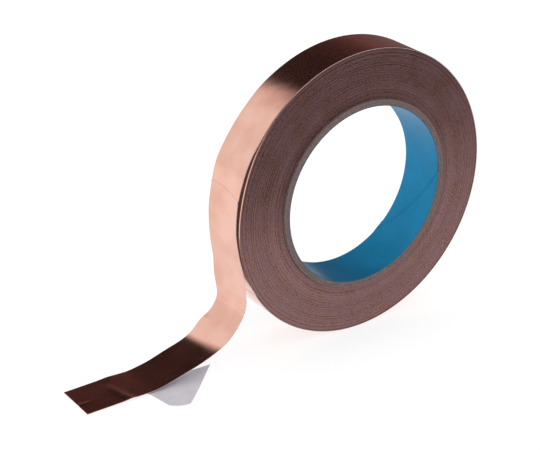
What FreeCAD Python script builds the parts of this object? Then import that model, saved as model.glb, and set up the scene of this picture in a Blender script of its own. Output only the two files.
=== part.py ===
import FreeCAD, Part
import math
import os

# A roll of adhesive copper foil tape, standing on its rim. Millimetres, +Z up.
# The origin is the centre of the core's bore, and +Y is the bore's axis, from the front of the
# roll to its back. The tape's free end comes off the left side, -X, and lies on the floor.

# Tape
TAPE_WIDTH = 19.0
FOIL = 0.10
ADHESIVE = 0.05
LINER = 0.10
WRAPS_PER_LAYER = 4

# Core
BORE_RADIUS = 38.1
LINING = 0.3
PLY = 0.6
PLY_COUNT = 4
COVER = 0.3
CORE_PROUD = 2.2
SEAM_GAP = 0.3
SEAM_ANGLE = 30.0
SEAM_PLACE = -21.0

# Roll
ROLL_RADIUS = 61.8
LAYER_CLEARANCE = 0.02
TURN_CLEARANCE = 0.35

# The loosened outer turn: close to the roll from its start to where it lifts, then on a larger arc
TURN_START = 212.0
LIFT_START = 110.0
LAY_OFF = 196.0
LIFT_EXTRA_RADIUS = 1.6

# The free end: each bend turns the tape away from the roll by its angle, at its radius. The drop
# bend's radius takes up what is left of the height, and the landing bend ends at the end's slope.
DROP_TURN = 17.0
CREASE_BEND = (18.0, 59.0)
RAMP_BEND = (60.0, 14.0)
RAMP_LENGTH = 8.65
LANDING_RADIUS = 60.0
END_SLOPE = 1.3
END_LENGTH = 25.0
HINGE_GAP = 0.3

# The peeled liner: folded back under the tape, with its cut end on the floor in front of it.
# The outline's points are measured from the fold, along +X, and from the tape's front edge, along Y.
# The last degrees of the landing bend lie past the fold, and have no liner.
BARE_TURN = 1.7
CUT_END = [(0.0, 0.0), (0.5, -0.6), (2.6, -11.4), (10.2, -14.8), (31.9, 5.0), (24.1, 5.9)]
FOLD_BACK_LENGTH = 12.0
FLAP_OFFSET = 0.7

TAPE = FOIL + ADHESIVE + LINER
FRONT = -TAPE_WIDTH / 2
BACK = TAPE_WIDTH / 2
FLOOR = -ROLL_RADIUS
CORE_RADIUS = BORE_RADIUS + LINING + PLY_COUNT * PLY + COVER
PACK_RADIUS = ROLL_RADIUS - TAPE - TURN_CLEARANCE


def point(x, z, y=FRONT):
    return FreeCAD.Vector(x, y, z)


def save(shape, name):
    shape.exportStep("parts/" + name + ".step")
    print(name, "volume", round(shape.Volume, 2), "valid", shape.isValid())


class Path:
    """A line in the XZ plane made of straight runs and tangent arcs. Headings are in degrees from +X
    towards +Z. Turns to the left are positive."""

    def __init__(self, x, z, heading):
        self.x = x
        self.z = z
        self.heading = heading
        self.runs = []

    def station(self):
        """The present place, and the unit vector to the left of the present heading."""
        angle = math.radians(self.heading)
        return (self.x, self.z, -math.sin(angle), math.cos(angle))

    def straight(self, length):
        start = self.station()
        angle = math.radians(self.heading)
        self.x += length * math.cos(angle)
        self.z += length * math.sin(angle)
        self.runs.append((start, None, self.station()))

    def half_arc(self, radius, turn):
        x, z, left_x, left_z = self.station()
        side = math.copysign(1.0, turn)
        centre_x = x + side * radius * left_x
        centre_z = z + side * radius * left_z
        self.heading += turn / 2
        left_x, left_z = self.station()[2:]
        self.x = centre_x - side * radius * left_x
        self.z = centre_z - side * radius * left_z

    def arc(self, radius, turn):
        start = self.station()
        self.half_arc(radius, turn)
        middle = self.station()
        self.half_arc(radius, turn)
        self.runs.append((start, middle, self.station()))

    def edges(self, left):
        """The path's edges, moved to its left by a distance."""
        result = []
        for run in self.runs:
            places = [point(s[0] + left * s[2], s[1] + left * s[3]) for s in run if s]
            if len(places) == 3:
                result.append(Part.Arc(*places).toShape())
            else:
                result.append(Part.LineSegment(*places).toShape())
        return result

    def strip(self, right_side, left_side):
        """A solid as wide as the tape, between two distances to the left of the path."""
        right_edges = self.edges(right_side)
        left_edges = self.edges(left_side)
        caps = []
        for s in (self.runs[0][0], self.runs[-1][2]):
            one = point(s[0] + right_side * s[2], s[1] + right_side * s[3])
            other = point(s[0] + left_side * s[2], s[1] + left_side * s[3])
            caps.append(Part.LineSegment(one, other).toShape())
        wire = Part.Wire(Part.__sortEdges__(right_edges + [caps[1]] + left_edges + [caps[0]]))
        return Part.Face(wire).extrude(FreeCAD.Vector(0, TAPE_WIDTH, 0))

    def onwards(self):
        """A new path from this one's end."""
        return Path(self.x, self.z, self.heading)


def tube(inner, outer, front, back):
    start = FreeCAD.Vector(0, front, 0)
    along = FreeCAD.Vector(0, 1, 0)
    outside = Part.makeCylinder(outer, back - front, start, along)
    inside = Part.makeCylinder(inner, back - front, start, along)
    return outside.cut(inside)


def core_lining():
    """The blue lining, with the diagonal seam where its winding meets itself. The seam's angle is
    from the way round the bore, and its place is the seam's middle, both in degrees."""
    front = FRONT - CORE_PROUD
    lining = tube(BORE_RADIUS, BORE_RADIUS + LINING, front, BACK)
    reach = BORE_RADIUS / 4
    slit = Part.makeBox(reach, SEAM_GAP, 2 * BORE_RADIUS)
    slit.translate(FreeCAD.Vector(BORE_RADIUS + 2 * LINING - reach, -SEAM_GAP / 2, -BORE_RADIUS))
    across = FreeCAD.Vector(1, 0, 0)
    slit.rotate(FreeCAD.Vector(0, 0, 0), across, SEAM_ANGLE)
    slit.translate(FreeCAD.Vector(0, (front + BACK) / 2, 0))
    slit.rotate(FreeCAD.Vector(0, 0, 0), FreeCAD.Vector(0, 1, 0), -SEAM_PLACE)
    return lining.cut(slit)


def core():
    front = FRONT - CORE_PROUD
    save(core_lining(), "core_lining")
    inner = BORE_RADIUS + LINING
    for number in range(1, PLY_COUNT + 1):
        save(tube(inner, inner + PLY, front, BACK), "core_ply_%d" % number)
        inner += PLY
    save(tube(inner, inner + COVER, front, BACK), "core_cover")


def winding():
    """Liner, adhesive and foil wound together on the core, as one spiral of half-turns. The centres
    of the half-turns alternate by a quarter of the pitch, so each meets the next smoothly."""
    pitch = WRAPS_PER_LAYER * TAPE
    last_layer = 1
    turns = int((PACK_RADIUS - CORE_RADIUS) / pitch) - last_layer
    start = CORE_RADIUS + LAYER_CLEARANCE
    spiral = Path(start, 0.0, 90.0)
    for half_turn in range(2 * turns):
        spiral.arc(start + half_turn * pitch / 2 + pitch / 4, 180.0)
    bounds = [0.0]
    for layer in (LINER, ADHESIVE, FOIL):
        bounds.append(bounds[-1] + WRAPS_PER_LAYER * layer)
    for index, name in enumerate(("liner_winding", "adhesive_winding", "foil_winding")):
        layer = spiral.strip(-bounds[index], -bounds[index + 1])
        layer.rotate(FreeCAD.Vector(0, 0, 0), FreeCAD.Vector(0, 1, 0), -TURN_START)
        save(layer, name)


def save_foil(path, place):
    """The foil and its adhesive along a path of the copper face."""
    save(path.strip(0.0, FOIL), "foil_" + place)
    save(path.strip(FOIL, FOIL + ADHESIVE), "adhesive_" + place)


def save_liner(path, place):
    save(path.strip(FOIL + ADHESIVE, TAPE), "liner_" + place)


def hinge_gap(path, name):
    """Leaves the gap at a bend, and prints the bend's axis, at the middle of the tape's thickness."""
    x, z, left_x, left_z = path.station()
    angle = math.radians(path.heading)
    middle_x = x + HINGE_GAP / 2 * math.cos(angle) + TAPE / 2 * left_x
    middle_z = z + HINGE_GAP / 2 * math.sin(angle) + TAPE / 2 * left_z
    print(name, "axis at x", round(middle_x, 3), "z", round(middle_z, 3))
    onwards = path.onwards()
    onwards.straight(HINGE_GAP)
    return onwards.onwards()


def outer_turn():
    start = math.radians(TURN_START)
    turn = Path(ROLL_RADIUS * math.cos(start), ROLL_RADIUS * math.sin(start), TURN_START + 90.0)
    turn.arc(ROLL_RADIUS, 360.0 + LIFT_START - TURN_START)
    turn.arc(ROLL_RADIUS + LIFT_EXTRA_RADIUS, LAY_OFF - LIFT_START)
    save_foil(turn, "outer_turn")
    save_liner(turn, "outer_turn")
    return turn


def fall(radius, heading, turn):
    """How far a bend to the right takes the tape down."""
    return radius * (math.cos(math.radians(heading)) - math.cos(math.radians(heading - turn)))


def drop_radius(drop):
    """The radius of the drop bend that brings the tape's cut end down to the floor."""
    crease_start = drop.heading - DROP_TURN
    ramp_start = crease_start - CREASE_BEND[1]
    landing_start = ramp_start - RAMP_BEND[1]
    slope = (landing_start + 180.0) % 360.0
    height = drop.z - FLOOR - FOIL - ADHESIVE
    height -= fall(CREASE_BEND[0], crease_start, CREASE_BEND[1])
    height -= fall(RAMP_BEND[0], ramp_start, RAMP_BEND[1])
    height -= fall(LANDING_RADIUS, landing_start, slope - END_SLOPE)
    height -= RAMP_LENGTH * math.sin(math.radians(slope))
    height -= (END_LENGTH + HINGE_GAP) * math.sin(math.radians(END_SLOPE))
    height -= HINGE_GAP * abs(math.sin(math.radians(crease_start)))
    radius = height / fall(1.0, drop.heading, DROP_TURN)
    print("drop bend radius", round(radius, 3))
    return radius


def free_end(turn):
    """The free end, in the three stretches between its bends. Returns the path where its liner folds."""
    drop = hinge_gap(turn, "tail_lift")
    drop.arc(drop_radius(drop), -DROP_TURN)
    save_foil(drop, "tail_drop")
    save_liner(drop, "tail_drop")

    ramp = hinge_gap(drop, "tail_bend")
    ramp.arc(CREASE_BEND[0], -CREASE_BEND[1])
    ramp.arc(RAMP_BEND[0], -RAMP_BEND[1])
    ramp.straight(RAMP_LENGTH)
    slope = (ramp.heading + 180.0) % 360.0
    ramp.arc(LANDING_RADIUS, END_SLOPE + BARE_TURN - slope)
    save_liner(ramp, "tail_ramp")
    fold = ramp.onwards()
    ramp.arc(LANDING_RADIUS, -BARE_TURN)
    save_foil(ramp, "tail_ramp")

    end = hinge_gap(ramp, "tail_end_lift")
    end.straight(END_LENGTH)
    save_foil(end, "tail_end")
    print("tip at x", round(end.x, 3), "z above the floor", round(end.z - FLOOR, 3))
    return fold


def plate(outline):
    """A piece of the liner, flat on the floor."""
    corners = [FreeCAD.Vector(x, y, FLOOR) for x, y in outline + outline[:1]]
    return Part.Face(Part.makePolygon(corners)).extrude(FreeCAD.Vector(0, 0, LINER))


def peeled_liner(fold):
    """The liner turns under near the end of the ramp and lies on the floor. Its cut end stands out
    in front of the tape, and can be bent up along the tape's front edge."""
    left_z = fold.station()[3]
    top = fold.z + (FOIL + ADHESIVE) * left_z
    turn_radius = (top - FLOOR) / (1.0 - left_z)
    fold.arc(turn_radius + FOIL + ADHESIVE, -fold.heading % 360.0)
    turned = fold.strip(FOIL + ADHESIVE, TAPE)

    outline = [(fold.x + dx, FRONT + dy) for dx, dy in CUT_END]
    outline += [(fold.x + FOLD_BACK_LENGTH, BACK), (fold.x, BACK)]
    sheet = plate(outline)
    hinge_y = FRONT - FLAP_OFFSET
    reach = 4 * TAPE_WIDTH
    behind = Part.makeBox(2 * reach, reach, reach)
    behind.translate(FreeCAD.Vector(fold.x - reach, hinge_y + HINGE_GAP / 2, FLOOR - reach / 2))
    before = Part.makeBox(2 * reach, reach, reach)
    before.translate(FreeCAD.Vector(fold.x - reach, hinge_y - HINGE_GAP / 2 - reach, FLOOR - reach / 2))
    save(sheet.common(behind).fuse(turned).removeSplitter(), "liner_fold")
    save(sheet.common(before), "liner_flap")
    print("liner_flap_lift axis at y", hinge_y, "z", FLOOR + LINER / 2)


os.makedirs("parts", exist_ok=True)
core()
winding()
peeled_liner(free_end(outer_turn()))
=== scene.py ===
import math
import bpy
import numpy as np
from mathutils import Matrix, Vector


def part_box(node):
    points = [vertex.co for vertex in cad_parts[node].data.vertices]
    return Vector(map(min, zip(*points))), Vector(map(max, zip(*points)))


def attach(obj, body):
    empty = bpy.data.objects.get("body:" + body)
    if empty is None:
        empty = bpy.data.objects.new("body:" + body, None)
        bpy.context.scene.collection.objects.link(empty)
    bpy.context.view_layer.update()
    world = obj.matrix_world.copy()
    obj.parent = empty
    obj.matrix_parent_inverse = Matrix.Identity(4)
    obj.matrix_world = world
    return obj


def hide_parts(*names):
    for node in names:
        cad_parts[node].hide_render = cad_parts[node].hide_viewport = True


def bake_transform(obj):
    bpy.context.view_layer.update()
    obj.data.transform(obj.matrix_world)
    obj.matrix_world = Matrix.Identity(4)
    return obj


# A roll of copper foil tape. Shapes are worked out in millimetres and stored in metres.
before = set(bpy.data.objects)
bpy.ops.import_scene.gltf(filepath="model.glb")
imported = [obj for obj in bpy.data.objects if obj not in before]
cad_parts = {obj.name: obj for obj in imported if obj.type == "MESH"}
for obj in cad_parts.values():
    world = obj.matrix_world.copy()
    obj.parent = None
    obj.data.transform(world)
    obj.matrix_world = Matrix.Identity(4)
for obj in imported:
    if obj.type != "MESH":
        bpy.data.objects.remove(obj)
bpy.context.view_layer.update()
MM = 0.001

# The roll's sizes, from the frame
TAPE_LOW, TAPE_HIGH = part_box("foil_outer_turn")
CORE_LOW, CORE_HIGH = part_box("core_cover")
LINING_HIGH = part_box("core_lining")[1]
FLOOR = TAPE_LOW.z / MM
ROLL_RADIUS = -FLOOR
FRONT = TAPE_LOW.y / MM
BACK = TAPE_HIGH.y / MM
CORE_FRONT = CORE_LOW.y / MM
CORE_RADIUS = CORE_HIGH.z / MM
LINING_OUTER = LINING_HIGH.z / MM

# The core's lining: its thickness, and the middle and the slope of its seam in degrees
LINING = 0.3
SEAM_PLACE = -21.0
SEAM_ANGLE = 30.0

# The tape's layers, the loosened outer turn, and the free end, where each bend is a radius and the
# angle that it turns through
FOIL = 0.10
ADHESIVE = 0.05
LINER = 0.10
TAPE = FOIL + ADHESIVE + LINER
TURN_START = 212.0
LIFT_START = 110.0
LAY_OFF = 196.0
LIFT_EXTRA_RADIUS = 1.6
DROP_BEND = (54.0, 17.0)
CREASE_BEND = (18.0, 59.0)
RAMP_BEND = (60.0, 14.0)
LANDING_RADIUS = 60.0
END_SLOPE = 1.3
END_LENGTH = 25.0
BARE_TURN = 1.7
HINGE_GAP = 0.3

# The wound tape: the small gap inside the outer turn and inside the last wound turn, how far the slit
# edges lie in from the outer turn's, and how far the winding is dished and drawn in
TURN_GAP = 0.03
WINDING_GAP = 0.12
SLIT_INSET = 0.12
DISH = 1.6
DRAWN_IN = 0.85
LAST_TURN_RADIUS = ROLL_RADIUS - TAPE - TURN_GAP


# ---------------------------------------------------------------- meshes

def quad_grid(rows, columns, first=0):
    """Quads of a grid of points stored row by row."""
    corner = np.arange(rows - 1)[:, None] * columns + np.arange(columns - 1)[None, :] + first
    corner = corner.ravel()
    return np.stack([corner, corner + columns, corner + columns + 1, corner + 1], axis=1)


def enclosed(points, quads):
    """The signed volume inside closed quads, as a sum of tetrahedra from the origin. It is negative
    when the faces point inwards."""
    a, b, c, d = (points[quads[:, k]] for k in range(4))
    return float(np.sum(np.cross(a, b) * c + np.cross(a, c) * d)) / 6.0


def make_piece(name, points, quads, material, uv=None, crease_angle=35.0):
    """A closed mesh object from points in millimetres and quads, turned to face outwards. uv holds
    one pair for each point. Edges that turn by more than the crease angle, in degrees, stay sharp."""
    if enclosed(points, quads) < 0:
        quads = quads[:, ::-1]
    mesh = bpy.data.meshes.new(name)
    mesh.vertices.add(len(points))
    mesh.vertices.foreach_set("co", (points * MM).astype(np.float32).ravel())
    mesh.loops.add(quads.size)
    mesh.loops.foreach_set("vertex_index", quads.astype(np.int32).ravel())
    mesh.polygons.add(len(quads))
    mesh.polygons.foreach_set("loop_start", np.arange(0, quads.size, 4, dtype=np.int32))
    if uv is not None:
        layer = mesh.uv_layers.new(name="UVMap")
        layer.data.foreach_set("uv", uv[quads.ravel()].astype(np.float32).ravel())
    mesh.update(calc_edges=True)
    mesh.validate()
    mesh.shade_smooth()
    mesh.set_sharp_from_angle(angle=math.radians(crease_angle))
    mesh.materials.append(material)
    piece = bpy.data.objects.new(name, mesh)
    bpy.context.scene.collection.objects.link(piece)
    return piece


def slab(name, upper, lower, uv, material):
    """A thin closed sheet between two grids of points of the same shape: the upper grid, the lower
    one facing the other way, and a rim of quads that joins their edges all the way round."""
    rows, columns = upper.shape[:2]
    top = quad_grid(rows, columns)
    bottom = quad_grid(rows, columns, rows * columns)[:, ::-1]
    rim = np.concatenate([
        np.arange(columns),
        np.arange(1, rows) * columns + columns - 1,
        (rows - 1) * columns + np.arange(columns - 2, -1, -1),
        np.arange(rows - 2, 0, -1) * columns])
    nxt = np.roll(rim, -1)
    side = np.stack([rim, nxt, nxt + rows * columns, rim + rows * columns], axis=1)
    points = np.concatenate([upper.reshape(-1, 3), lower.reshape(-1, 3)])
    both = np.concatenate([uv.reshape(-1, 2), uv.reshape(-1, 2)])
    return make_piece(name, points, np.concatenate([top, bottom, side]), material, both)


def revolve(name, profile, material, segments=288, edge_wave=0.0):
    """A closed profile of (radius, y) points carried round the bore's axis. edge_wave moves the cut
    edges a little along the axis: a sum of three slow waves in the angle."""
    angle = np.linspace(0.0, 2 * np.pi, segments, endpoint=False)[:, None]
    radius = profile[None, :, 0]
    wave = np.sin(3 * angle + radius) + 0.6 * np.sin(7 * angle + 2.3 * radius) + 0.4 * np.sin(13 * angle)
    y = profile[None, :, 1] + edge_wave * wave
    points = np.stack([radius * np.cos(angle), y + 0 * angle, radius * np.sin(angle)], axis=2)
    count = len(profile)
    i = np.arange(segments)[:, None]
    j = np.arange(count)[None, :]
    a = i * count + j
    b = ((i + 1) % segments) * count + j
    c = ((i + 1) % segments) * count + (j + 1) % count
    d = i * count + (j + 1) % count
    quads = np.stack([a, b, c, d], axis=2).reshape(-1, 4)
    return make_piece(name, points.reshape(-1, 3), quads, material)


def ring_profile(inner, outer, front, back, corner):
    """A rectangle with rounded corners, as (radius, y) points, each corner a quarter of a circle."""
    turn = np.linspace(0.0, np.pi / 2, 4)
    centres = ((outer - corner, back - corner), (inner + corner, back - corner),
               (inner + corner, front + corner), (outer - corner, front + corner))
    parts = []
    for number, (radius, y) in enumerate(centres):
        a = turn + number * np.pi / 2
        parts.append(np.stack([radius + corner * np.cos(a), y + corner * np.sin(a)], axis=1))
    return np.concatenate(parts)


# ---------------------------------------------------------------- the tape's path

class TapePath:
    """The copper face's line in the XZ plane. A place on an arc is the chord from the arc's start:
    its length is the arc times sin(half turn) over the half turn, along the middle heading."""

    def __init__(self, runs, x, z, heading):
        self.length = np.array([run[0] for run in runs])
        turn = np.radians([run[1] for run in runs])
        self.curve = turn / self.length
        self.heading = heading + np.concatenate([[0.0], np.cumsum(turn)[:-1]])
        self.start = np.concatenate([[0.0], np.cumsum(self.length)])
        self.x = np.zeros(len(runs))
        self.z = np.zeros(len(runs))
        self.x[0], self.z[0] = x, z
        for i in range(len(runs) - 1):
            self.x[i + 1], self.z[i + 1] = self.at(self.start[i + 1] - 1e-9, i)[:2]

    def at(self, s, run=None):
        """Place and heading at distances along the path."""
        s = np.asarray(s, float)
        if run is None:
            run = np.clip(np.searchsorted(self.start, s, side="right") - 1, 0, len(self.length) - 1)
        ds = s - self.start[run]
        half = self.curve[run] * ds / 2
        chord = ds * np.sinc(half / np.pi)
        middle = self.heading[run] + half
        return (self.x[run] + chord * np.cos(middle), self.z[run] + chord * np.sin(middle),
                self.heading[run] + 2 * half)


def arc(radius, turn):
    """A run of the path: the arc's length, and the angle that it turns through, in degrees."""
    return (radius * abs(math.radians(turn)), turn)


def lay_out_tape():
    """The runs from the outer turn's start to the tape's cut end."""
    runs = [arc(ROLL_RADIUS, 360.0 + LIFT_START - TURN_START)]
    runs.append(arc(ROLL_RADIUS + LIFT_EXTRA_RADIUS, LAY_OFF - LIFT_START))
    runs.append((HINGE_GAP, 0.0))
    runs.append(arc(DROP_BEND[0], -DROP_BEND[1]))
    runs.append((HINGE_GAP, 0.0))
    runs.append(arc(CREASE_BEND[0], -CREASE_BEND[1]))
    runs.append(arc(RAMP_BEND[0], -RAMP_BEND[1]))
    start = math.radians(TURN_START)
    place = (ROLL_RADIUS * math.cos(start), ROLL_RADIUS * math.sin(start), start + math.pi / 2)
    z = TapePath(runs + [(1.0, 0.0)], *place).z[-1]
    slope = math.radians(LAY_OFF - 90.0 - DROP_BEND[1] - CREASE_BEND[1] - RAMP_BEND[1])
    low = math.radians(END_SLOPE)
    end_rise = (END_LENGTH + HINGE_GAP) * math.sin(low) + (FOIL + ADHESIVE) * math.cos(low)
    fall = z - FLOOR - end_rise - LANDING_RADIUS * (math.cos(low) - math.cos(slope))
    runs.append((fall / math.sin(slope), 0.0))
    runs.append(arc(LANDING_RADIUS, END_SLOPE + BARE_TURN - math.degrees(slope)))
    runs.append(arc(LANDING_RADIUS, -BARE_TURN))
    runs.append((HINGE_GAP, 0.0))
    runs.append((END_LENGTH, 0.0))
    return TapePath(runs, *place)


path = lay_out_tape()

# Distances along the path. The tape is smooth up to the one where it is creased.
AT_LIFT, AT_LAY_OFF, AT_BEND = path.start[1], path.start[2], path.start[4]
AT_CREASED = AT_LIFT + 50.0
AT_RAMP, AT_FOLD, AT_END, AT_TIP = path.start[6], path.start[9], path.start[10], path.start[-1]


def bell(x, width):
    """A smooth bump of height 1 about zero, a normal curve without its factor."""
    return np.exp(-(x / width) ** 2)


def rise(x):
    """From 0 to 1, smoothly, as x goes from 0 to 1."""
    x = np.clip(x, 0.0, 1.0)
    return x * x * (3 - 2 * x)


def waves(s, bumps):
    """A sum of bells along the path, each (distance past the lay-off, width, height) in millimetres."""
    return sum(height * bell(s - AT_LAY_OFF - centre, width) for centre, width, height in bumps)


def twist(s, y):
    """The loose tape is twisted and buckled: its far and near edges stand out by different amounts,
    and it is ruled straight across between them."""
    share = (y - FRONT) / (BACK - FRONT)
    far = waves(s, ((-41.0, 9.0, 0.6), (-15.0, 9.0, -0.35), (8.0, 6.5, 1.25), (20.0, 4.0, -0.45),
                    (32.5, 5.6, 1.95), (70.0, 4.0, -0.3), (80.0, 3.0, 0.25)))
    near = waves(s, ((-10.0, 6.0, -0.35), (2.0, 16.0, -1.05), (17.5, 6.0, -0.9), (31.0, 6.0, 0.25)))
    return near * (1.0 - share) + far * share


def across_tape(count):
    """Evenly spaced places from the tape's front edge to its back edge."""
    return np.linspace(FRONT, BACK, count)[None, :]


def crumple(s, y):
    """How far the loose tape stands out of its even path, in millimetres: slow swells that grow
    from where the turn lifts, and a few creases, each a narrow bell across a slanted line."""
    loose = rise((s - AT_LIFT) / 40.0)
    swell = (0.10 * np.sin(s / 5.1 + 0.05 * y) + 0.07 * np.sin(s / 2.9 - 0.16 * y + 1.0)
             + 0.05 * np.sin(s / 8.3 + 0.22 * y + 2.0))
    turn_mark = AT_LIFT + math.radians(57.0) * (ROLL_RADIUS + LIFT_EXTRA_RADIUS)
    bow = turn_mark + 0.010 * (y - 4.0) ** 2 - 0.05 * y
    marks = 0.24 * bell(s - bow, 0.55) + 0.05 * bell(s - bow - 2.0, 1.8)
    slant = AT_BEND + 1.4 - 0.27 * y
    marks = marks + 0.13 * bell(s - slant, 0.9) * rise((4.5 - y) / 6.0)
    ridge = AT_END + 8.6 + 0.12 * y - 0.02 * y ** 2
    marks = marks + 0.30 * bell(s - ridge, 2.0) * rise((6.5 - y) / 7.0)
    marks = marks + 0.16 * bell(y + 2.3, 0.8) * rise((s - AT_TIP + 7.0) / 4.0)
    settle = 1.0 - 0.85 * rise((s - AT_FOLD + 8.0) / 8.0)
    loose_shape = np.maximum(loose * (swell * settle + 0.08) + marks, -0.10) * rise((s - AT_LIFT) / 12.0)
    return loose_shape + twist(s, y)


def feathered(depth, s):
    """The outer turn's start is pressed thin onto the turn below it, so depths shrink towards the
    tape's inner face there."""
    pressed, length = 0.08, 8.0
    return TAPE - (TAPE - depth) * (pressed + (1.0 - pressed) * rise(s / length))


def strip(name, line, s, lift, depths, material):
    """A stretch of one of the tape's layers between two depths, at distances along a line: the grid
    runs along the line and across the tape, and each place is moved off the line, square to it, by
    the lift there less the depth."""
    y = across_tape(33)
    x, z, heading = line.at(s)
    uv = np.stack([s * MM + 0 * y, y * MM + 0 * s], axis=2)
    faces = []
    for depth in depths:
        off = lift - depth
        faces.append(np.stack([x + off * np.sin(heading), y + 0 * s, z - off * np.cos(heading)], axis=2))
    return slab(name, faces[0], faces[1], uv, material)


def ribbon(name, start, stop, outer, inner, material):
    """A stretch of a layer on the tape's own path, with the crumple. The places along it are close
    together only where the tape is loose."""
    coarse, fine = 1.2, 0.25
    tight = np.arange(start, min(stop, AT_CREASED), coarse)
    loose = np.arange(max(start, AT_CREASED), stop - 0.1, fine)
    s = np.concatenate([tight, loose, [stop]])[:, None]
    depths = [feathered(depth, s) for depth in (outer, inner)]
    return strip(name, path, s, crumple(s, across_tape(33)), depths, material)


# ---------------------------------------------------------------- materials

def linear(hex_colour):
    """An sRGB hex colour as linear RGBA."""
    channels = [int(hex_colour[i:i + 2], 16) / 255.0 for i in (1, 3, 5)]
    return tuple(c / 12.92 if c <= 0.04045 else ((c + 0.055) / 1.055) ** 2.4 for c in channels) + (1.0,)


def add_node(tree, kind, settings=None, inputs=None):
    """Adds a node, sets its properties, and fills its inputs with values or links from sockets."""
    node = tree.nodes.new(kind)
    for name, value in (settings or {}).items():
        setattr(node, name, value)
    for name, value in (inputs or {}).items():
        if isinstance(value, bpy.types.NodeSocket):
            tree.links.new(value, node.inputs[name])
        else:
            node.inputs[name].default_value = value
    return node


def blend_colours(tree, factor, stops):
    """A colour ramp through (position, hex colour) stops."""
    ramp = add_node(tree, "ShaderNodeValToRGB", inputs={"Fac": factor})
    elements = ramp.color_ramp.elements
    while len(elements) < len(stops):
        elements.new(0.5)
    for element, (position, colour) in zip(elements, stops):
        element.position = position
        element.color = linear(colour)
    return ramp.outputs["Color"]


def start_material(name):
    """An empty node material: its tree and its Principled shader."""
    material = bpy.data.materials.new(name)
    material.use_nodes = True
    tree = material.node_tree
    tree.nodes.clear()
    shader = add_node(tree, "ShaderNodeBsdfPrincipled")
    output = add_node(tree, "ShaderNodeOutputMaterial")
    tree.links.new(shader.outputs["BSDF"], output.inputs["Surface"])
    return material, tree, shader


def fill(tree, shader, values):
    """Fills the shader's inputs with values or links from sockets."""
    for name, value in values.items():
        if isinstance(value, bpy.types.NodeSocket):
            tree.links.new(value, shader.inputs[name])
        else:
            shader.inputs[name].default_value = value


def per_mm(size):
    """A noise scale, on coordinates in metres, for features of this size in millimetres."""
    return 1.0 / (size * MM)


def rolled_copper():
    """Soft annealed copper foil, bright rolled: mirror-like with a faint grain along the tape, a
    slow unevenness from handling, and a slightly deeper pink where it has begun to tarnish."""
    material, tree, shader = start_material("bright_rolled_copper")
    place = add_node(tree, "ShaderNodeTexCoord").outputs["UV"]
    grain_place = add_node(tree, "ShaderNodeMapping", inputs={"Vector": place, "Scale": (0.04, 1.0, 1.0)})
    grain = add_node(tree, "ShaderNodeTexNoise", {"noise_dimensions": "2D"}, {
        "Vector": grain_place.outputs["Vector"], "Scale": per_mm(0.5), "Detail": 3.0})
    cloud = add_node(tree, "ShaderNodeTexNoise", {"noise_dimensions": "2D"}, {
        "Vector": place, "Scale": per_mm(14.0), "Detail": 2.0})
    colour = blend_colours(tree, cloud.outputs["Fac"], ((0.35, "#EBBCAB"), (0.70, "#E1AD9B")))
    rough = add_node(tree, "ShaderNodeMapRange", inputs={
        "Value": grain.outputs["Fac"], "From Min": 0.3, "From Max": 0.7, "To Min": 0.10, "To Max": 0.17})
    fine = add_node(tree, "ShaderNodeBump", inputs={
        "Height": grain.outputs["Fac"], "Strength": 0.10, "Distance": 0.02 * MM})
    slow = add_node(tree, "ShaderNodeBump", inputs={
        "Height": cloud.outputs["Fac"], "Strength": 0.35, "Distance": 0.30 * MM,
        "Normal": fine.outputs["Normal"]})
    fill(tree, shader, {"Base Color": colour, "Metallic": 1.0, "Roughness": rough.outputs["Result"],
                        "Normal": slow.outputs["Normal"]})
    return material


def acrylic_adhesive():
    """Clear acrylic adhesive over the back of the foil: a tacky satin film, pinkish brown from the
    copper behind it, with faint streaks where the liner has pulled away."""
    material, tree, shader = start_material("acrylic_adhesive_film")
    place = add_node(tree, "ShaderNodeTexCoord").outputs["UV"]
    streak_place = add_node(tree, "ShaderNodeMapping", inputs={"Vector": place, "Scale": (0.2, 1.0, 1.0)})
    streak = add_node(tree, "ShaderNodeTexNoise", {"noise_dimensions": "2D"}, {
        "Vector": streak_place.outputs["Vector"], "Scale": per_mm(1.5), "Detail": 3.0})
    colour = blend_colours(tree, streak.outputs["Fac"], ((0.3, "#8E6555"), (0.7, "#A87B69")))
    rough = add_node(tree, "ShaderNodeMapRange", inputs={
        "Value": streak.outputs["Fac"], "From Min": 0.3, "From Max": 0.7, "To Min": 0.28, "To Max": 0.42})
    fill(tree, shader, {"Base Color": colour, "Metallic": 0.35, "Roughness": rough.outputs["Result"]})
    return material


def silicone_liner():
    """Calendered release paper with a silicone face: cool pale grey with a lavender cast, slightly
    cloudy fibres, and a soft waxy shine."""
    material, tree, shader = start_material("silicone_release_paper")
    place = add_node(tree, "ShaderNodeTexCoord").outputs["Object"]
    cloud = add_node(tree, "ShaderNodeTexNoise", inputs={
        "Vector": place, "Scale": per_mm(6.0), "Detail": 4.0})
    fibre = add_node(tree, "ShaderNodeTexNoise", inputs={
        "Vector": place, "Scale": per_mm(0.6), "Detail": 3.0})
    colour = blend_colours(tree, cloud.outputs["Fac"], ((0.30, "#D3D1D7"), (0.72, "#C7C4CC")))
    bump = add_node(tree, "ShaderNodeBump", inputs={
        "Height": fibre.outputs["Fac"], "Strength": 0.25, "Distance": 0.03 * MM})
    fill(tree, shader, {"Base Color": colour, "Roughness": 0.42, "Coat Weight": 0.08,
                        "Coat Roughness": 0.25, "Normal": bump.outputs["Normal"]})
    return material


def radius_of(tree):
    """The distance from the bore's axis, in metres, and the object coordinates."""
    place = add_node(tree, "ShaderNodeTexCoord").outputs["Object"]
    flat = add_node(tree, "ShaderNodeVectorMath", {"operation": "MULTIPLY"}, {
        0: place, 1: (1.0, 0.0, 1.0)})
    radius = add_node(tree, "ShaderNodeVectorMath", {"operation": "LENGTH"}, {0: flat.outputs["Vector"]})
    return radius.outputs["Value"], place


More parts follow.
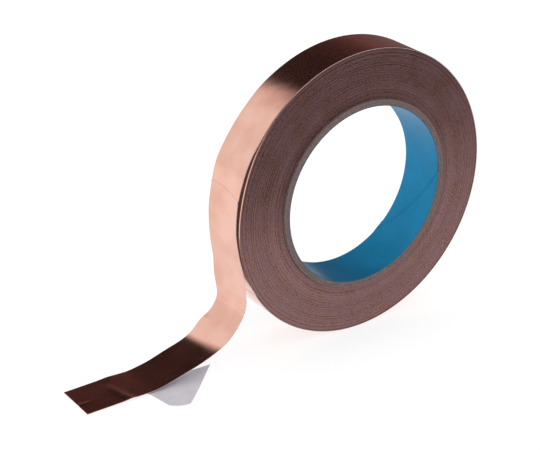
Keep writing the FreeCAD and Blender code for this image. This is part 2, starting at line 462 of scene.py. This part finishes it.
def slit_tape_edges():
    """The slit edges of foil, adhesive and liner, wound tight: dull mauve brown, finely dotted along
    the wraps with bare copper and pale paper, and dusty where the knife dragged the adhesive. The
    dots are a fifth of a millimetre across and a little longer round the roll than across it."""
    material, tree, shader = start_material("slit_edges_of_wound_tape")
    radius, place = radius_of(tree)
    rings = add_node(tree, "ShaderNodeTexNoise", {"noise_dimensions": "1D"}, {
        "W": radius, "Scale": per_mm(0.45), "Detail": 2.0})
    bands = add_node(tree, "ShaderNodeTexNoise", {"noise_dimensions": "1D"}, {
        "W": radius, "Scale": per_mm(6.0), "Detail": 1.0})
    dots = add_node(tree, "ShaderNodeTexNoise", inputs={
        "Vector": place, "Scale": per_mm(0.35), "Detail": 3.0, "Roughness": 0.7})
    dust = add_node(tree, "ShaderNodeTexNoise", inputs={
        "Vector": place, "Scale": per_mm(9.0), "Detail": 3.0})
    shade = add_node(tree, "ShaderNodeMath", {"operation": "MULTIPLY_ADD"}, {
        0: rings.outputs["Fac"], 1: 0.60, 2: dots.outputs["Fac"]})
    shade = add_node(tree, "ShaderNodeMath", {"operation": "MULTIPLY_ADD"}, {
        0: bands.outputs["Fac"], 1: 0.15, 2: shade.outputs["Value"]})
    shade = add_node(tree, "ShaderNodeMath", {"operation": "MULTIPLY_ADD"}, {
        0: dust.outputs["Fac"], 1: 0.20, 2: shade.outputs["Value"]})
    colour = blend_colours(tree, shade.outputs["Value"], (
        (0.70, "#3C2A2C"), (0.88, "#664A4B"), (1.0, "#987874")))
    tint = blend_colours(tree, dust.outputs["Fac"], ((0.35, "#FFF0E8"), (0.65, "#F2E8F2")))
    mixed = add_node(tree, "ShaderNodeMix", {"data_type": "RGBA", "blend_type": "MULTIPLY"})
    mixed.inputs["Factor"].default_value = 1.0
    tree.links.new(colour, mixed.inputs["A"])
    tree.links.new(tint, mixed.inputs["B"])
    rough = add_node(tree, "ShaderNodeMapRange", inputs={
        "Value": dust.outputs["Fac"], "From Min": 0.3, "From Max": 0.7, "To Min": 0.28, "To Max": 0.40})
    bump = add_node(tree, "ShaderNodeBump", inputs={
        "Height": dots.outputs["Fac"], "Strength": 0.35, "Distance": 0.08 * MM})
    fill(tree, shader, {"Base Color": mixed.outputs["Result"], "Metallic": 0.75,
                        "Roughness": rough.outputs["Result"], "Normal": bump.outputs["Normal"]})
    return material


def grey_board(name, light, dark):
    """Recycled tube board: grey brown, speckled with fibre, matt, its sawn edge slightly furry."""
    material, tree, shader = start_material(name)
    radius, place = radius_of(tree)
    ply = add_node(tree, "ShaderNodeTexNoise", {"noise_dimensions": "1D"}, {
        "W": radius, "Scale": per_mm(0.3), "Detail": 2.0})
    speck = add_node(tree, "ShaderNodeTexNoise", inputs={
        "Vector": place, "Scale": per_mm(0.7), "Detail": 5.0, "Roughness": 0.7})
    mixed = add_node(tree, "ShaderNodeMath", {"operation": "MULTIPLY_ADD"}, {
        0: ply.outputs["Fac"], 1: 0.5, 2: speck.outputs["Fac"]})
    colour = blend_colours(tree, mixed.outputs["Value"], ((0.55, dark), (0.95, light)))
    bump = add_node(tree, "ShaderNodeBump", inputs={
        "Height": speck.outputs["Fac"], "Strength": 0.6, "Distance": 0.12 * MM})
    fill(tree, shader, {"Base Color": colour, "Roughness": 0.85, "Specular IOR Level": 0.3,
                        "Normal": bump.outputs["Normal"]})
    return material


def blue_coated_paper():
    """Blue printed paper under a thin plastic film, pasted inside the core: smooth and glossy, with
    a faint helical grain from winding and a slow unevenness from the board behind."""
    material, tree, shader = start_material("blue_film_coated_paper")
    place = add_node(tree, "ShaderNodeTexCoord").outputs["Object"]
    cloud = add_node(tree, "ShaderNodeTexNoise", inputs={
        "Vector": place, "Scale": per_mm(9.0), "Detail": 3.0})
    fibre = add_node(tree, "ShaderNodeTexNoise", inputs={
        "Vector": place, "Scale": per_mm(1.2), "Detail": 4.0})
    colour = blend_colours(tree, cloud.outputs["Fac"], ((0.3, "#056488"), (0.7, "#045D80")))
    bump = add_node(tree, "ShaderNodeBump", inputs={
        "Height": cloud.outputs["Fac"], "Strength": 0.15, "Distance": 0.25 * MM})
    fine = add_node(tree, "ShaderNodeBump", inputs={
        "Height": fibre.outputs["Fac"], "Strength": 0.25, "Distance": 0.03 * MM,
        "Normal": bump.outputs["Normal"]})
    fill(tree, shader, {"Base Color": colour, "Roughness": 0.36, "Specular IOR Level": 0.13,
                        "Coat Weight": 0.03, "Coat Roughness": 0.25, "Normal": fine.outputs["Normal"]})
    return material


# ---------------------------------------------------------------- the core

def core(board, dark_paper, blue):
    """Four plies of board and the cover paper, each a ring of its own, and the blue lining."""
    for number in range(1, 5):
        node = "core_ply_%d" % number
        low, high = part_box(node)
        outer = high.z / MM
        inner = LINING_OUTER if number == 1 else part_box("core_ply_%d" % (number - 1))[1].z / MM
        profile = ring_profile(inner + 0.02, outer - 0.02, low.y / MM, high.y / MM, 0.12)
        ply = revolve("board_ply_%d" % number, profile, board, edge_wave=0.02)
        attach(ply, "wound_roll")
        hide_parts(node)
    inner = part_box("core_ply_4")[1].z / MM
    profile = ring_profile(inner, CORE_RADIUS, CORE_FRONT + 0.25, BACK, 0.1)
    cover = revolve("core_cover_paper", profile, dark_paper, edge_wave=0.03)
    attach(cover, "wound_roll")
    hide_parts("core_cover")
    lining(blue)


def lining(blue):
    """A strip wound once round inside the core. Its two ends lie along a helix, and the last few
    millimetres lap over the first: the angle runs from the seam round to just past it, and the
    radius shrinks where it laps, by a little more than the paper's thickness."""
    seam_place, seam_slope, lap = math.radians(SEAM_PLACE), math.tan(math.radians(SEAM_ANGLE)), 0.010
    thickness, lap_rise, bore = 0.2, 0.28, LINING_OUTER - LINING
    around = np.linspace(0.0, 1.0 + lap, 361)[:, None]
    y = np.linspace(CORE_FRONT + 0.05, BACK, 25)[None, :]
    middle = (CORE_FRONT + BACK) / 2
    angle = seam_place - (y - middle) / seam_slope / bore + 2 * np.pi * around
    over = rise((around - 0.985) / 0.012)
    outer = LINING_OUTER - lap_rise * over + 0 * y
    inner = outer - thickness
    uv = np.stack([around + 0 * y, y * MM + 0 * around], axis=2)
    faces = [np.stack([r * np.cos(angle), y + 0 * angle, r * np.sin(angle)], axis=2)
             for r in (inner, outer)]
    sheet = slab("blue_core_lining", faces[0], faces[1], uv, blue)
    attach(sheet, "wound_roll")
    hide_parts("core_lining")


# ---------------------------------------------------------------- the wound tape

def relaxed(angle):
    """How far the wound tape has drawn in from round, in millimetres, beside the loosened turn."""
    away = np.angle(np.exp(1j * (angle - math.radians(168.0))))
    return DRAWN_IN * bell(away, math.radians(20.0))


def wound_tape(material):
    """The tape wound on the core as one long strip. Its inner face follows a spiral, and its outer
    face is the next turn of the same spiral; both are held between the core and the outer turn, so
    the first and last turns taper until they are as thin as the strip may get. Turns stand in or out
    a little, as slit edges do, and the whole winding is dished: it has slid forward along the core,
    most of all next to it."""
    pitch, segments, thinnest = 0.5, 240, 0.02
    inside, outside = CORE_RADIUS + 0.05, LAST_TURN_RADIUS - WINDING_GAP
    turns = int(math.ceil((outside - inside) / pitch)) + 1
    phase = np.linspace(0.0, turns, turns * segments + 1)[:, None]
    angle = 2 * np.pi * phase + math.radians(TURN_START)
    edge = outside - 1.30 * relaxed(angle)
    inner = np.clip(inside + pitch * (phase - 1.0), inside, edge - thinnest)
    outer = np.clip(inside + pitch * phase, inner + thinnest, edge)
    random = np.random.default_rng(7)
    steps = random.normal(0.0, 0.018, turns + 2)
    whole = np.floor(phase).astype(int)
    mix = rise((phase - whole) * 3.0)
    stand = steps[whole] * (1 - mix) + steps[whole + 1] * mix
    stand = stand + 0.012 * np.sin(5 * angle + 1.7 * phase)
    dish = DISH * (outside - inner) / (outside - inside)
    # Where the section's points lie across a turn's thickness, and how far each is set back
    share = np.array([0.0, 0.12, 0.55, 0.97])[None, :]
    sunk = np.array([0.05, 0.0, 0.01, 0.06])[None, :]
    radius = inner + (outer - inner) * share
    thin = np.clip((outer - inner) / pitch, 0.0, 1.0)
    front = FRONT + SLIT_INSET + (sunk - stand) * thin - dish
    back = BACK - SLIT_INSET - (sunk + stand) * thin - dish
    radius = np.concatenate([radius, radius[:, ::-1]], axis=1)
    y = np.concatenate([front, back[:, ::-1]], axis=1)
    points = np.stack([radius * np.cos(angle), y, radius * np.sin(angle)], axis=2)
    count = points.shape[1]
    i = np.arange(len(phase) - 1)[:, None]
    j = np.arange(count)[None, :]
    quads = np.stack([i * count + j, (i + 1) * count + j,
                      (i + 1) * count + (j + 1) % count, i * count + (j + 1) % count], axis=2)
    end = (len(phase) - 1) * count
    caps = [[base + a, base + a + 1, base + count - 2 - a, base + count - 1 - a]
            for base in (0, end) for a in range(count // 2 - 1)]
    caps = np.array(caps)
    last = len(caps) // 2
    caps[last:] = caps[last:, ::-1]
    faces = np.concatenate([quads.reshape(-1, 4), caps])
    roll = make_piece("wound_tape", points.reshape(-1, 3), faces, material, crease_angle=60.0)
    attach(roll, "wound_roll")
    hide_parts("foil_winding", "adhesive_winding", "liner_winding")


def last_wound_turn(copper):
    """The outermost turn that is still wound tight: one wrap whose copper face shows where the tape
    leaves the roll, and whose slit edge is burred over and stands a little proud, as a bright line.
    It is a ring between two grids, each radius by angle. Its ends meet under the outer turn."""
    ends_meet, bevel, proud = 60.0, 0.15, 0.12
    angle = np.radians(np.linspace(ends_meet, ends_meet + 359.8, 361))[:, None]
    faces = []
    for depth, start in ((0.0, FRONT + bevel), (FOIL + 0.22 * relaxed(angle), FRONT - proud)):
        y = np.linspace(start, BACK - SLIT_INSET, 9)[None, :]
        radius = LAST_TURN_RADIUS - relaxed(angle) - depth + 0 * y
        faces.append(np.stack([radius * np.cos(angle), y + 0 * angle, radius * np.sin(angle)], axis=2))
    uv = np.stack([angle * LAST_TURN_RADIUS * MM + 0 * y, y * MM + 0 * angle], axis=2)
    wrap = slab("last_wound_turn", faces[0], faces[1], uv, copper)
    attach(wrap, "wound_roll")


# ---------------------------------------------------------------- the outer turn and the free end

def spot(s):
    """A place on the path, in the frame's metres."""
    x, z = path.at(s)[:2]
    return (float(x) * MM, 0.0, float(z) * MM)


def place_stretch(piece, bodies, hinge):
    """The stretch rides on one body; a stretch that lies across the hinge at that distance, between two
    bodies, is left where it lies and rides on neither.
    """
    bend_reach = 2.5
    if len(bodies) == 1:
        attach(piece, bodies[0])
    else:
        spot(hinge - bend_reach)
        spot(hinge + bend_reach)
        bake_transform(piece)


def tape_layers(copper, adhesive, paper):
    """Foil, adhesive and liner, each in stretches that meet between the hinges, so that every bend is
    inside a piece. The liner ends at its fold. A layer starts a hair below the one above it."""
    drop_middle = (AT_LAY_OFF + AT_BEND) / 2
    ramp_middle = AT_RAMP + 4.0
    settled = AT_LAY_OFF - 25.0
    hair = 0.002
    stretches = (
        ("outer_turn", 0.0, settled, ("outer_turn",), None, "outer_turn"),
        ("lay_off", settled, drop_middle, ("outer_turn", "tail_drop"), AT_LAY_OFF, "tail_drop"),
        ("crease", drop_middle, ramp_middle, ("tail_drop", "tail_ramp"), AT_BEND, "tail_ramp"),
        ("tip", ramp_middle, AT_TIP, ("tail_ramp", "tail_end"), AT_END, "tail_end"))
    layers = (("foil", 0.0, FOIL, copper, "copper_foil"),
              ("adhesive", FOIL + hair, FOIL + ADHESIVE, adhesive, "adhesive"),
              ("liner", FOIL + ADHESIVE + hair, TAPE, paper, "release_liner"))
    for layer, outer, inner, material, slot in layers:
        for name, start, stop, bodies, hinge, node in stretches:
            if layer == "liner" and name == "tip":
                continue
            if layer == "liner" and name == "crease":
                stop = AT_FOLD
            piece = ribbon(layer + "_" + name + "_stretch", start, stop, outer, inner, material)
            place_stretch(piece, bodies, hinge)
            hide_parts(layer + "_" + node)


def liner_fold(paper):
    """The liner turns under, on an arc from the tape's underside down to the floor. Returns the X at
    which it reaches the floor."""
    x, z, heading = path.at(AT_FOLD)
    top = z - (FOIL + ADHESIVE) * math.cos(heading + math.pi)
    turn_radius = (top - FLOOR) / 2 + FOIL + ADHESIVE
    turn = math.degrees(2 * math.pi - heading % (2 * math.pi))
    under = TapePath([arc(turn_radius, turn), (0.4, 0.0)], x, z, heading)
    s = np.linspace(0.0, under.start[-1], 25)[:, None]
    fold = strip("liner_fold_stretch", under, s, 0.0 * across_tape(33) * s, (FOIL + ADHESIVE, TAPE), paper)
    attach(fold, "tail_ramp")
    return float(under.x[1])


def liner_cut_end(paper, fold_x):
    """The liner's cut end, on the floor in front of the tape. The sheet is ruled between its left and
    right edges, each a run of straight cuts, in millimetres from the fold and from the tape's front
    edge. Its front edge is slightly bowed, and its right and front corners curl up."""
    left = np.array([[0.0, 19.0], [0.0, 5.9], [0.5, -0.6], [2.6, -11.4]])
    right = np.array([[12.0, 19.0], [24.1, 5.9], [31.9, 5.0], [10.2, -14.8]])
    knots = np.array([0.0, 0.42, 0.55, 1.0])
    down = np.concatenate([np.linspace(0.0, 0.42, 14), np.linspace(0.42, 0.55, 7)[1:],
                           np.linspace(0.55, 1.0, 28)[1:]])
    edges = [np.stack([np.interp(down, knots, side[:, k]) for k in (0, 1)], axis=1)
             for side in (left, right)]
    share = np.linspace(0.0, 1.0, 41)[None, :, None]
    flat = edges[0][:, None, :] * (1 - share) + edges[1][:, None, :] * share
    px, py = flat[:, :, 0], flat[:, :, 1]
    bow = 1.2 * (1 - (2 * share[:, :, 0] - 1) ** 2) * rise((down[:, None] - 0.7) / 0.3)
    py = py - bow
    curl = 0.9 * rise((px - 18.0) / 14.0) + 0.35 * rise((-py - 9.0) / 6.0) + 0.03
    height = FLOOR + curl
    uv = np.stack([px * MM, py * MM], axis=2)
    faces = [np.stack([fold_x + px, FRONT + py, height + t], axis=2) for t in (LINER, 0.0)]
    sheet = slab("liner_cut_end", faces[0], faces[1], uv, paper)
    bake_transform(sheet)
    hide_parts("liner_fold", "liner_flap")


# ---------------------------------------------------------------- stage, light and camera

def stage_plane(name, corners, colour, roughness):
    """A flat card or floor that isn't part of the object, with its corners in metres."""
    mesh = bpy.data.meshes.new(name)
    mesh.from_pydata([Vector(c) for c in corners], [], [(0, 1, 2, 3)])
    piece = bpy.data.objects.new(name, mesh)
    bpy.context.scene.collection.objects.link(piece)
    material, tree, shader = start_material(name + "_paint")
    fill(tree, shader, {"Base Color": linear(colour), "Roughness": roughness, "Specular IOR Level": 0.2})
    mesh.materials.append(material)
    return piece


def glossy_only(card):
    """A card that lights nothing and hides nothing, and shows only in shiny surfaces."""
    card.visible_camera = False
    card.visible_diffuse = False
    card.visible_shadow = False


def upright_card(name, left, right, y, low, top, colour):
    """A card that stands at one Y, seen only in shiny surfaces."""
    card = stage_plane(name, ((left, y, low), (right, y, low), (right, y, top), (left, y, top)), colour, 1.0)
    glossy_only(card)
    return card


def card_on_floor(name, left, right, near, far, low, colour):
    """A card that lies just above the floor, seen only in shiny surfaces."""
    corners = ((left, near, low), (right, near, low), (right, far, low), (left, far, low))
    glossy_only(stage_plane(name, corners, colour, 1.0))


def shade_card(card, left):
    """Makes the card paler low down, and fades it to white at its left edge."""
    tree = card.data.materials[0].node_tree
    place = add_node(tree, "ShaderNodeSeparateXYZ", inputs={
        "Vector": add_node(tree, "ShaderNodeTexCoord").outputs["Object"]})
    up = add_node(tree, "ShaderNodeMapRange", inputs={
        "Value": place.outputs["Z"], "From Min": 0.0, "From Max": 1.1})
    dark = blend_colours(tree, up.outputs["Result"], (
        (0.0, "#6C5453"), (0.45, "#654545"), (0.72, "#412A2A"), (0.95, "#2B1B1B")))
    along = add_node(tree, "ShaderNodeMapRange", {"interpolation_type": "SMOOTHSTEP"}, {
        "Value": place.outputs["X"], "From Min": left, "From Max": -0.10})
    colour = add_node(tree, "ShaderNodeMix", {"data_type": "RGBA"}, {"Factor": along.outputs["Result"]})
    colour.inputs["A"].default_value = linear("#F0E4E2")
    tree.links.new(dark, colour.inputs["B"])
    tree.links.new(colour.outputs["Result"], tree.nodes["Principled BSDF"].inputs["Base Color"])


def studio():
    """A floor that gives off light, soft even light all round, and dark cards behind the roll, on the
    floor there, in front, and on the floor there, that only shiny surfaces see. All in metres."""
    size, low, top = 6.0, FLOOR * MM - 0.0001, 2.2
    floor = stage_plane("studio_floor", ((-size, -size, low), (size, -size, low), (size, size, low),
                                         (-size, size, low)), "#A0A0A0", 0.8)
    shader = floor.data.materials[0].node_tree.nodes["Principled BSDF"]
    shader.inputs["Emission Color"].default_value = linear("#FFFFFF")
    shader.inputs["Emission Strength"].default_value = 0.72

    on_floor = low + 0.0002
    behind, behind_left, behind_right = 1.2, -0.55, 4.0
    shade_card(upright_card("dark_card_behind", behind_left, behind_right, behind, low, top, "#251717"),
               behind_left)
    card_on_floor("dark_card_on_floor", -0.1, behind_right, 0.25, behind, on_floor, "#6E5552")
    in_front, front_left, front_right = -2.0, -0.15, 3.5
    upright_card("dark_card_in_front", front_left, front_right, in_front, low, top, "#241C1C")
    card_on_floor("dark_card_on_floor_in_front", front_left, front_right, in_front, -0.12, on_floor,
                  "#2A2020")

    world = bpy.data.worlds.new("studio_light")
    world.use_nodes = True
    background = world.node_tree.nodes["Background"]
    background.inputs["Color"].default_value = linear("#FFFFFF")
    background.inputs["Strength"].default_value = 1.0
    bpy.context.scene.world = world
    bpy.context.scene.view_settings.view_transform = "Standard"


def bore_lamp():
    """A soft lamp low behind the roll on the left, which lights only the core's lining."""
    lit = bpy.data.collections.new("lit_by_bore_lamp")
    lit.objects.link(bpy.data.objects["blue_core_lining"])
    lamp = bpy.data.lights.new("bore_lamp", "AREA")
    lamp.energy = 9.5
    lamp.size = 0.3
    holder = bpy.data.objects.new("bore_lamp", lamp)
    place = Vector((-0.50, 0.45, -0.055))
    holder.matrix_world = Matrix.Translation(place) @ place.to_track_quat("Z", "Y").to_matrix().to_4x4()
    holder.visible_glossy = False
    bpy.context.scene.collection.objects.link(holder)
    holder.light_linking.receiver_collection = lit


def camera():
    """Looks down on the roll from its front left, turned a little about its own axis. The place is in
    millimetres."""
    place = Vector((-369.4, -459.0, 259.9))
    turn, height, roll = (math.radians(a) for a in (-35.71, 25.37, 1.59))
    back = Vector((math.cos(height) * math.sin(turn), -math.cos(height) * math.cos(turn), math.sin(height)))
    level = Vector((math.cos(turn), math.sin(turn), 0.0))
    right = level * math.cos(roll) + back.cross(level) * math.sin(roll)
    axes = Matrix((right, back.cross(right), back)).transposed().to_4x4()
    lens = bpy.data.cameras.new("camera")
    lens.sensor_width = 36.0
    lens.lens = 103.9
    lens.clip_start = 0.01
    holder = bpy.data.objects.new("camera", lens)
    holder.matrix_world = Matrix.Translation(place * MM) @ axes
    bpy.context.scene.collection.objects.link(holder)
    bpy.context.scene.camera = holder


copper = rolled_copper()
adhesive = acrylic_adhesive()
paper = silicone_liner()
camera()
studio()
core(grey_board("grey_tube_board", "#85736F", "#594A48"),
     grey_board("core_cover_paper", "#75645F", "#4E403D"), blue_coated_paper())
wound_tape(slit_tape_edges())
last_wound_turn(copper)
tape_layers(copper, adhesive, paper)
liner_cut_end(paper, liner_fold(paper))
bore_lamp()
